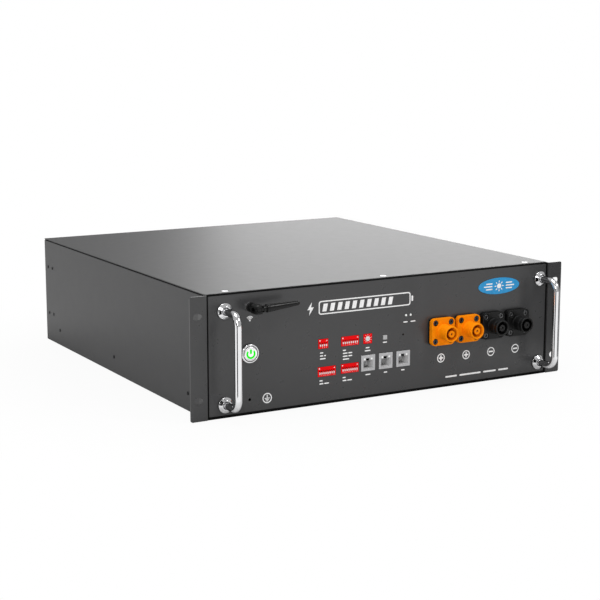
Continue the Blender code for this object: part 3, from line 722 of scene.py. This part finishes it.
def build_handle(side):
    """Make one polished bar handle and its two ferrules."""
    node = f"{side}_handle"
    low, high = box_mm(node)
    radius = radius_mm(node)
    x = centre_mm(node).x
    front, back = low.y + radius, high.y
    lower, upper = low.z + radius, high.z - radius
    bend = HANDLE_BEND
    flat = [(back, lower)]
    flat += arc((front + bend, lower + bend), bend, 270, 180, 16)
    flat += arc((front + bend, upper - bend), bend, 180, 90, 16)
    flat.append((back, upper))
    path = [(x, y, z) for y, z in flat]
    piece(f"{node}_bar", "pack", "chrome", [tube(path, radius, (1, 0, 0))], [node])

    bore = radius + 0.3
    for level in ("lower", "upper"):
        ferrule = f"{side}_handle_{level}_ferrule"
        low, high = box_mm(ferrule)
        outer = radius_mm(ferrule)
        height = high.y - low.y
        profile = [
            (0.0, bore), (0.0, outer - 0.6), (0.5, outer - 0.6), (0.6, outer), (1.9, outer),
            (height, bore + 1.1), (height, bore), (0.0, bore),
        ]
        centre = (x, high.y, centre_mm(ferrule).z)
        ring = turned(eased(profile, 0.35)[:-1], centre, (0, -1, 0), 64, closed=True)
        piece(f"{ferrule}_fine", "pack", "chrome", [ring], [ferrule])


# Power button


def build_power_button():
    """Make the bezel, the dished cap and the lit power symbol."""
    middle = centre_mm("power_button_bezel")
    radius = radius_mm("power_button_bezel")
    face = panel_face()
    front = face - box_mm("power_button_bezel")[0].y
    inner = radius_mm("power_button_cap") + 0.6
    profile = [
        (-8.0, 0.0), (-8.0, inner), (front, inner), (front, radius - 0.7), (front - 0.7, radius),
        (0.3, radius), (0.3, radius - 1.3), (-24.0, radius - 1.3), (-24.0, 0.0),
    ]
    centre = (middle.x, face, middle.z)
    solid = turned(eased(profile, 0.3), centre, (0, -1, 0), 80)
    piece("power_bezel_fine", "pack", "chrome", [solid], ["power_button_bezel"])

    low, high = box_mm("power_button_cap")
    radius = radius_mm("power_button_cap")
    front = face - low.y
    back = face - high.y
    profile = [
        (back, 0.0), (back, radius), (front - 0.7, radius), (front, radius - 0.9),
        (front - 0.25, radius - 1.9), (front - 0.25, 0.0),
    ]
    solid = turned(eased(profile, 0.35), centre, (0, -1, 0), 80)
    cap = piece("power_cap_fine", "power_button", "cap", [solid], ["power_button_cap"])

    near, far = low.y + 0.17, low.y + 0.45
    ring = band((middle.x, middle.z), 3.3, 5.4, 140, 400)
    stroke = rounded((middle.x, middle.z + 2.5), 2.3, 4.8, 0.5, 3)
    solids = [plate([mark], near, far, 0.04) for mark in (ring, stroke)]
    piece("power_symbol", "power_button", "green_glow", solids)
    dress("zinc", 0.4, "power_button_nut")


# Antenna


def build_antenna():
    """Make the jack, the knurled base with its fork, the pin and the folding whip."""
    pivot = centre_mm("antenna_hinge_pin")
    tilt = next(j for j in frame["joints"] if j["name"] == "antenna_fold")["axis"]
    upright = -Vector(tilt).normalized()
    along = Vector((0.0, 1.0, 0.0)).cross(upright).normalized()
    outward = Vector((0.0, -1.0, 0.0))
    turn = Matrix((along, -outward, upright)).transposed().to_4x4()
    place = Matrix.Translation(pivot) @ turn
    face = panel_face()
    root = face - pivot.y

    centre = (pivot.x, face, pivot.z)
    jack = [
        (-10.0, 0.0), (-10.0, 3.0), (0.3, 3.0), (0.3, 4.8), (2.3, 4.8), (2.3, 2.9), (8.0, 2.9),
        (8.0, 0.0),
    ]
    solid = turned(eased(jack, 0.2), centre, (0, -1, 0), 48)
    piece("antenna_jack_fine", "pack", "zinc", [solid], ["antenna_jack"])

    near, far = root - 13.0, root - 2.6
    grip = [
        (near, 0.0), (near, 4.6), (near + 0.6, 4.9), (near + 2.2, 4.9), (near + 2.6, 4.6),
        (far - 1.4, 4.6), (far - 1.0, 5.2), (far, 5.2), (far, 3.25), (far - 5.8, 3.25),
        (far - 5.8, 0.0),
    ]
    solids = [turned(eased(grip, 0.25), (0, 0, 0), (0, 1, 0), 72)]
    rib = plate([rounded((0.0, 4.62), 0.55, 0.75, 0.2, 3)], near + 3.0, far - 1.8, 0.08)
    for i in range(24):
        solids.append(placed(rib, Matrix.Rotation(math.radians(15 * i), 4, "Y")))
    outline = [(4.6, near + 0.6)] + arc((0.0, 0.0), 4.6, 0, -180, 24) + [(-4.6, near + 0.6)]
    cheek = [outline, circle((0.0, 0.0), 1.3, 24)]
    for sign in (-1, 1):
        solids.append(plate(cheek, sign * 1.9, sign * 4.2, 0.25, "Z"))
    solids = [placed(solid, place) for solid in solids]
    piece("antenna_base_fine", "antenna_swivel_base", "black", solids, ["antenna_base"])

    pin = [(-4.1, 0.0), (-4.1, 1.2), (4.1, 1.2), (4.1, 0.0)]
    solid = placed(turned(eased(pin, 0.2), (0, 0, 0), (0, 0, 1), 32), place)
    piece("antenna_pin_fine", "antenna_swivel_base", "zinc", [solid], ["antenna_hinge_pin"])

    whip = [
        (5.2, 0.0), (5.2, 3.6), (7.8, 3.6), (8.2, 3.0), (9.0, 3.0), (9.4, 4.5), (11.2, 4.4),
        (11.5, 4.15), (12.1, 4.15), (12.4, 4.34), (47.0, 2.5), (48.6, 1.7), (49.0, 0.0),
    ]
    tongue = [(6.2, -3.0), (6.2, 3.0)] + arc((0.0, 0.0), 3.8, 50, 310, 32)
    solids = [
        turned(eased(whip, 0.3), (0, 0, 0), (1, 0, 0), 56),
        plate([tongue, circle((0.0, 0.0), 1.3, 24)], -1.6, 1.6, 0.2, "Z"),
    ]
    solids = [placed(solid, place) for solid in solids]
    piece("antenna_whip_fine", "antenna_blade", "whip", solids, ["antenna_whip"])


# Power connectors


def build_power_connector(name):
    """Make one power connector: housing, contact with its finger guard, and four screws."""
    positive = name.startswith("positive")
    plastic = "orange" if positive else "black"
    node = f"{name}_connector"
    low, high = box_mm(node)
    middle = centre_mm(node)
    spot = (middle.x, middle.z)
    face = panel_face()
    centre = (middle.x, face, middle.z)
    front = face - low.y
    size = high.x - low.x
    step = CONNECTOR_FLANGE
    reach = CONNECTOR_SCREW_OFFSET
    seats = [(spot[0] + u, spot[1] + v) for u in (-reach, reach) for v in (-reach, reach)]

    outline = rounded(spot, size, size, 5.0)
    holes = [circle(seat, CONNECTOR_SCREW_RADIUS + 0.3, 32) for seat in seats]
    solids = [
        plate([outline, circle(spot, 8.5)] + holes, face - step, face - step + 3.0, 0.45),
        plate([outline, circle(spot, 8.5)], face - step + 3.0, face - SHADE_RING_THICKNESS, 0.2),
    ]
    # A black ring under the flange, as painted shade in the gap behind it
    gasket = plate([outline, circle(spot, 9.4)], face - SHADE_RING_THICKNESS, face, 0.3)
    piece(f"{name}_gasket", "pack", "seal", [gasket])
    outer, bore = CONNECTOR_BARREL_RADIUS, CONNECTOR_BORE_RADIUS
    barrel = [
        (-10.0, outer - 1.1), (0.3, outer - 1.1), (0.3, outer - 0.1), (step + 0.5, outer),
        (step + 1.3, outer), (step + 1.5, outer - 0.5), (front - 6.4, outer - 0.6),
        (front - 6.1, outer - 1.0), (front - 5.1, outer - 1.0), (front - 4.8, outer),
        (front - 0.5, outer), (front, outer - 0.5), (front, bore + 0.6), (front - 0.8, bore),
        (4.0, bore), (4.0, 3.3), (-10.0, 3.3), (-10.0, outer - 1.1),
    ]
    solids.append(turned(eased(barrel, 0.25)[:-1], centre, (0, -1, 0), 72, closed=True))
    rib = plate([rounded((0.0, bore - 0.3), 1.4, 0.9, 0.25, 3)], -front + 2.0, -5.0, 0.15)
    for angle in (45, 135, 225, 315):
        turn = Matrix.Rotation(math.radians(angle), 4, "Y")
        solids.append(placed(rib, Matrix.Translation(centre) @ turn))
    housing = piece(f"{name}_housing_fine", "pack", plastic, solids, [node])

    tip = front - 0.5
    pin = [
        (-34.0, 0.0), (-34.0, 3.0), (3.7, 3.0), (3.7, 3.7), (tip - 0.9, 3.7), (tip - 0.4, 3.2),
        (tip - 0.4, 1.5), (tip - 7.0, 1.5), (tip - 7.0, 0.0),
    ]
    contact = turned(eased(pin, 0.25), centre, (0, -1, 0), 48)
    piece(f"{name}_contact_fine", "pack", "silver", [contact], [f"{name}_contact"])
    guard = [
        (tip - 1.6, 3.75), (tip - 1.6, 3.9), (tip - 0.3, 3.9), (tip, 3.6), (tip, 1.7),
        (tip - 0.3, 1.3), (tip - 2.0, 1.3), (tip - 2.0, 1.45), (tip - 0.35, 1.45),
        (tip - 0.35, 3.3), (tip - 0.85, 3.75),
    ]
    ring = turned(guard, centre, (0, -1, 0), 48, closed=True)
    piece(f"{name}_finger_guard", "pack", plastic, [ring])

    recess = circle((0.0, 0.0), 1.5, 6)
    solids = []
    for u, v in seats:
        seat = (u, face - step + 2.9, v)
        solids += recessed_head(seat, CONNECTOR_SCREW_RADIUS, 2.6, recess, "Y", -1)
    metal = "dark_screw" if positive else "grey_screw"
    piece(f"{name}_screws", "pack", metal, solids)


# Small controls


def socket_outline(x, z, grow):
    """Return the outline of a network socket's mouth, grown all round."""
    wide, narrow = 5.7 + grow, 2.5 + grow
    foot, step, top = -6.0 - grow, 2.4 + grow, 5.2 + grow
    right = [(wide, foot), (wide, step), (narrow, step), (narrow, top)]
    left = [(-u, v) for u, v in reversed(right)]
    return [(x + u, z + v) for u, v in right + left]


def build_network_socket(number):
    """Add the insert, contacts and light windows to one network socket."""
    node = f"network_socket_{number}"
    dress("shield", 0.3, node)
    x, _, z = centre_mm(node)
    front = box_mm(node)[0].y

    outer = socket_outline(x, z, 0.38)
    back = plate([outer], front + 10.6, front + 11.4)
    walls = plate([outer, socket_outline(x, z, 0.0)], front + 0.7, front + 10.6, 0.05)
    insert = piece(f"{node}_insert", "pack", "insert", [walls, back])

    finger = [(5.0, -5.9), (5.4, -5.9), (10.4, -4.5), (10.4, -4.2)]
    outline = [(front + y, z + v) for y, v in finger]
    solids = []
    for i in range(8):
        at = x + (i - 3.5) * 1.02
        solids.append(plate([outline], at - 0.22, at + 0.22, 0.04, "X"))
    contacts = piece(f"{node}_contacts", "pack", "silver", solids)

    # A black plate in the latch slot, as painted shade in its depth
    latch_shade = plate([rectangle((x, z + 3.9), 5.9, 3.2)], front + 2.4, front + 3.0)
    recess = piece(f"{node}_latch_painted_shade", "pack", "seal", [latch_shade])

    solids = []
    for side in (-1, 1):
        window = rounded((x + side * 4.5, z + 4.5), 2.1, 1.8, 0.3, 4)
        solids.append(plate([window], front - 0.12, front + 0.2, 0.06))
    windows = piece(f"{node}_windows", "pack", "window", solids)


def build_switch_block(name, ways):
    """Dress one slide-switch block with its dot, arrow and numbers."""
    body = f"{name}_switch_body"
    dress("red", 0.12, body, segments=2)
    dress("white", 0.12, f"{name}_sliders", segments=2)
    low, high = box_mm(body)
    x, _, z = centre_mm(body)
    near, far = low.y - 0.05, low.y + 0.1
    dot = circle((low.x + 1.7, high.z - 1.6), 0.7, 24)
    corner = (high.x - 1.6, high.z - 1.7)
    arrow = [(corner[0] + u, corner[1] + v) for u, v in ((-0.7, -0.7), (0.7, -0.7), (0.0, 0.7))]
    solids = [plate([dot], near, far), plate([arrow], near, far)]
    for i in range(ways):
        u = x + (i - (ways - 1) / 2) * SLIDER_PITCH
        solids.append(glyph(str(i + 1), 1.5, (u, z - 4.1), 0.0, near, far))
    piece(f"{name}_numerals", "pack", "ink", solids)


def build_code_switch():
    """Dress the rotary switch with its ring of ticks and numbers."""
    dress("red", 0.15, "code_switch_body", segments=2)
    dress("white", 0.12, "code_switch_rotor", segments=2)
    front = box_mm("code_switch_body")[0].y
    x, _, z = centre_mm("code_switch_body")
    near, far = front - 0.05, front + 0.1
    solids = []
    for i in range(10):
        angle = 90 - 36 * i
        tick = turned_outline(rounded((x + 3.45, z), 0.7, 0.35, 0.1, 2), (x, z), angle)
        solids.append(plate([tick], near, far))
        turn = math.radians(angle)
        spot = (x + 4.4 * math.cos(turn), z + 4.4 * math.sin(turn))
        solids.append(glyph(str(i), 1.5, spot, angle - 90, near, far))
    piece("code_switch_numerals", "pack", "ink", solids)


def build_indicator_lights():
    """Make the domed lenses of the two indicator lights."""
    face = panel_face()
    for node in ("run_light", "fault_light"):
        middle = centre_mm(node)
        profile = [(-12.9, 0.0), (-12.9, 1.5), (-3.3, 1.5), (-3.3, 1.9), (-2.3, 1.9), (-2.3, 1.5)]
        steps = [math.radians(15 * i) for i in range(7)]
        profile += [(-0.4 + 1.25 * math.sin(t), 1.25 * math.cos(t)) for t in steps]
        solid = turned(profile, (middle.x, face, middle.z), (0, -1, 0), 40)
        piece(f"{node}_lens", "pack", "lens", [solid], [node])


def build_pin_hole():
    """Line the pin hole with a black ring, as painted shade in the hole."""
    x, z = PIN_HOLE
    ring = [(-2.6, 0.5), (-2.6, 0.74), (0.02, 0.74), (0.02, 1.15), (0.12, 1.05), (0.12, 0.5)]
    solid = turned(ring, (x, panel_face(), z), (0, -1, 0), 32, closed=True)
    piece("pin_hole_painted_shade", "pack", "seal", [solid])


def dress_reset_switch():
    """Finish the reset button and its body."""
    dress("pale", 0.3, "reset_button_cap")
    dress("black", 0.2, "reset_switch_body", segments=2)


# Printed markings


def print_on_panel(name, marks):
    """Print flat marks on the panel, each given as nested outlines."""
    face = panel_face()
    solids = [plate(outlines, face - INK_PROUD, face + INK_DEPTH) for outlines in marks]
    piece(name, "pack", "ink", solids)


def greeked(spot, widths, height=1.3, pitch=3.3, gap=1.0, anchor=0.5):
    """Return short blank bars in lines, which stand where small labels would be.

    The anchor is the share of each line that lies to the left of the spot.
    """
    marks = []
    for row, lengths in enumerate(widths):
        at = spot[0] - anchor * (sum(lengths) + gap * (len(lengths) - 1))
        for length in lengths:
            marks.append([bar((at + length / 2, spot[1] - row * pitch), length, height)])
            at += length + gap
    return marks


def build_markings():
    """Print the charge scale, the polarity signs and the symbols."""
    middle = (SCALE_LOW[1] + SCALE_HIGH[1]) / 2
    width, height = SCALE_HIGH[0] - SCALE_LOW[0], SCALE_HIGH[1] - SCALE_LOW[1]
    centre = ((SCALE_LOW[0] + SCALE_HIGH[0]) / 2, middle)
    inside = rounded(centre, width - 2 * SCALE_LINE, height - 2 * SCALE_LINE, 1.9)
    marks = [[rounded(centre, width, height, 3.0), inside]]
    marks.append([rounded((SCALE_HIGH[0] + 2.4, middle), 2.2, 6.0, 0.8)])
    pitch = (width - 6.4) / SCALE_CELLS
    slanted = [(-3.4, -4.2), (1.8, -4.2), (3.6, 4.2), (-1.6, 4.2)]
    for i in range(SCALE_CELLS_LIT):
        x = SCALE_LOW[0] + 3.2 + (i + 0.5) * pitch
        marks.append([[(x + u, middle + v) for u, v in slanted]])
    bolt = [(1.6, 7.2), (-4.0, -1.0), (-0.6, -1.0), (-2.0, -7.2), (4.0, 1.6), (0.5, 1.6)]
    marks.append([[(u + SCALE_LOW[0] - 10.0, v + middle) for u, v in bolt]])
    print_on_panel("charge_scale", marks)

    marks = []
    for name in POWER_CONNECTORS:
        spot = (centre_mm(f"{name}_connector").x + POLARITY_SHIFT, POLARITY_HEIGHT)
        marks.append([circle(spot, 5.2), circle(spot, 4.1)])
        if name.startswith("positive"):
            marks.append([cross(spot, 3.0, 1.7)])
        else:
            marks.append([rectangle(spot, 6.0, 1.7)])
    print_on_panel("polarity_signs", marks)

    x, z = EARTH_SPOT
    marks = [[circle(EARTH_SPOT, 5.6), circle(EARTH_SPOT, 4.5)]]
    marks.append([rectangle((x, z + 1.8), 1.0, 3.6)])
    for row, length in enumerate((6.2, 4.2, 2.2)):
        marks.append([rectangle((x, z - 0.2 - 1.5 * row), length, 0.9)])
    marks.append([circle(AERIAL_SPOT, 0.9, 24)])
    for radius in (1.9, 3.2, 4.5):
        marks.append([band(AERIAL_SPOT, radius - 0.35, radius + 0.4, 40, 140, 16)])
    print_on_panel("panel_symbols", marks)


def build_blank_labels():
    """Print blank bars where the small labels and the sentence would be."""
    marks = greeked(SENTENCE_SPOT, ((16, 30, 18, 14),), 1.9, gap=3.6)
    lights = [centre_mm(node).x for node in ("run_light", "fault_light")]
    marks += greeked((lights[0] - 1.0, LIGHT_LABELS_HEIGHT), ((5.5,),))
    marks += greeked((lights[1] + 3.0, LIGHT_LABELS_HEIGHT), ((6.5,),))
    marks += greeked((centre_mm("reset_button_cap").x, RESET_LABEL_HEIGHT), ((5.5,),))
    marks += greeked((centre_mm("code_switch_body").x, CODE_LABEL_HEIGHT), ((5.0,), (7.5,)))
    for name, _, rows in SWITCH_BLOCKS:
        corner = box_mm(f"{name}_switch_body")[0]
        marks += greeked((corner.x + 2.0, corner.z - 4.8), rows, anchor=0.0)
    for number in (1, 2, 3):
        node = f"network_socket_{number}"
        length = 6.5 if number == 1 else 4.5
        marks += greeked((centre_mm(node).x, box_mm(node)[0].z - 4.0), ((length,),))
    print_on_panel("blank_labels", marks)


def build_badge():
    """Make the blue badge with a plain sun mark."""
    face = panel_face()
    x, z = BADGE_SPOT
    wide, high = BADGE_REACH
    oval = [(x + u * wide, z + v * high) for u, v in circle((0.0, 0.0), 1.0, 96)]
    base = plate([oval], face - 0.7, face, 0.3)
    piece("badge", "pack", "badge", [base])
    near, far = face - 0.78, face - 0.6
    solids = [plate([circle(BADGE_SPOT, 2.9)], near, far)]
    ray = rounded((x + 5.2, z), 2.4, 1.1, 0.4, 3)
    for i in range(8):
        solids.append(plate([turned_outline(ray, BADGE_SPOT, 45 * i)], near, far))
    for side in (-1, 1):
        for row, length in ((1, 9.0), (0, 12.0), (-1, 9.0)):
            at = (x + side * (9.5 + length / 2), z + row * 3.2)
            solids.append(plate([bar(at, length, 1.4)], near, far))
    piece("badge_mark", "pack", "ink", solids)


# Inside


def dress_inside():
    """Finish the boards, bars and cells inside the case."""
    coat("board", "communication_board", "management_board")
    coat("aluminium", "management_heat_sink", "front_clamp_frame", "rear_clamp_frame")
    coat("cell", "front_cell_row", "rear_cell_row")
    coat("tray", "front_link_tray", "rear_link_tray")
    dress("copper", 0.3, "positive_bus_bar", "negative_bus_bar", "series_link")


# Studio


def add_softbox(name, spot, size, power):
    """Hang a soft rectangular light."""
    light = bpy.data.lights.new(name, "AREA")
    light.shape = "RECTANGLE"
    light.size, light.size_y = size
    light.energy = power
    lamp = bpy.data.objects.new(name, light)
    lamp.location = spot
    sight = Vector(SOFTBOX_TARGET) - Vector(spot)
    lamp.rotation_euler = sight.to_track_quat("-Z", "Y").to_euler()
    lamp.visible_camera = False
    bpy.context.scene.collection.objects.link(lamp)


def build_floor():
    """Make the pale floor, which turns into the white surroundings away from the object."""
    bpy.ops.mesh.primitive_circle_add(vertices=96, radius=9.0, fill_type="NGON")
    floor = bpy.context.object
    floor.name = "floor"
    floor.location.z = -0.0002
    finish = Finish("floor_paper", (0.62, 0.62, 0.62), 0.85)
    finish.haze(40.0, 0.03)
    nodes, links = finish.nodes, finish.links
    distance = nodes.new("ShaderNodeVectorMath")
    distance.operation = "LENGTH"
    links.new(finish.scale.outputs["Vector"], distance.inputs[0])
    path = nodes.new("ShaderNodeLightPath")
    shares = []
    for ray, fade in (("Is Camera Ray", FLOOR_SEEN), ("Is Glossy Ray", FLOOR_REFLECTED)):
        start, end, least = fade
        white = finish.spread(distance.outputs["Value"], least, 1.0, start, end, "SMOOTHSTEP")
        shares.append(finish.combine("MULTIPLY", path.outputs[ray], white))
    glow = nodes.new("ShaderNodeEmission")
    mix = nodes.new("ShaderNodeMixShader")
    links.new(finish.combine("MAXIMUM", *shares), mix.inputs["Fac"])
    links.new(finish.shader.outputs["BSDF"], mix.inputs[1])
    links.new(glow.outputs["Emission"], mix.inputs[2])
    links.new(mix.outputs["Shader"], nodes["Material Output"].inputs["Surface"])
    floor.data.materials.append(finish.material)


def build_surroundings():
    """Surround the object with white, dimmer as light than it looks to the camera."""
    world = bpy.data.worlds.new("surroundings")
    bpy.context.scene.world = world
    world.use_nodes = True
    nodes, links = world.node_tree.nodes, world.node_tree.links
    background = nodes["Background"]
    background.inputs["Color"].default_value = (1.0, 1.0, 1.0, 1.0)
    path = nodes.new("ShaderNodeLightPath")
    strength = nodes.new("ShaderNodeMapRange")
    strength.inputs["To Min"].default_value = SURROUNDINGS_LIGHT
    strength.inputs["To Max"].default_value = 1.0
    links.new(path.outputs["Is Camera Ray"], strength.inputs["Value"])
    links.new(strength.outputs["Result"], background.inputs["Strength"])


def add_card(name, side, azimuth, width, grey):
    """Stand a card by a handle, which shows only as a dark reflection."""
    finish = Finish(name, (grey, grey, grey), 1.0, specular=0.0)
    finish.haze(30.0, 0.02)
    low, high = box_mm(f"{side}_handle")
    angle = math.radians(azimuth)
    out = Vector((math.sin(angle), -math.cos(angle), 0.0))
    across = Vector((out.y, -out.x, 0.0)) * width / 2
    foot = Vector(((low.x + high.x) / 2, low.y, 0.0)) + out * CARD_DISTANCE
    top = Vector((0.0, 0.0, CARD_HEIGHT))
    corners = [foot - across, foot + across, foot + across + top, foot - across + top]
    mesh = bpy.data.meshes.new(name)
    mesh.from_pydata([corner * MM for corner in corners], [], [(0, 1, 2, 3)])
    mesh.materials.append(finish.material)
    card = bpy.data.objects.new(name, mesh)
    card.visible_camera = False
    card.visible_diffuse = False
    card.visible_shadow = False
    bpy.context.scene.collection.objects.link(card)


def build_camera():
    """Put the camera where the photograph was taken from."""
    azimuth = math.radians(CAMERA_AZIMUTH)
    elevation = math.radians(CAMERA_ELEVATION)
    back = Vector((
        math.sin(azimuth) * math.cos(elevation),
        -math.cos(azimuth) * math.cos(elevation),
        math.sin(elevation),
    ))
    right = (-back).cross(Vector((0.0, 0.0, 1.0))).normalized()
    up = back.cross(right)
    data = bpy.data.cameras.new("camera")
    data.lens = CAMERA_LENS
    data.sensor_width = CAMERA_SENSOR
    camera = bpy.data.objects.new("camera", data)
    place = Matrix((right, up, back)).transposed().to_4x4()
    place.translation = Vector(CAMERA_SPOT) * MM
    camera.matrix_world = place
    bpy.context.scene.collection.objects.link(camera)
    bpy.context.scene.camera = camera


dress_case()
build_seal_lip()
build_ear_packing()
build_wall_screws()
build_cover_screws()
build_cover_gasket()
for side in ("left", "right"):
    build_handle(side)
build_power_button()
build_antenna()
for name in POWER_CONNECTORS:
    build_power_connector(name)
for number in (1, 2, 3):
    build_network_socket(number)
for name, ways, _ in SWITCH_BLOCKS:
    build_switch_block(name, ways)
build_code_switch()
build_indicator_lights()
build_pin_hole()
dress_reset_switch()
build_markings()
build_blank_labels()
build_badge()
dress_inside()
build_floor()
build_surroundings()
for name, spot, size, power in SOFTBOXES:
    add_softbox(f"{name}_softbox", spot, size, power)
for number, card in enumerate(CARDS):
    add_card(f"card_{number}", *card)
build_camera()

bpy.context.scene.view_settings.view_transform = "Standard"
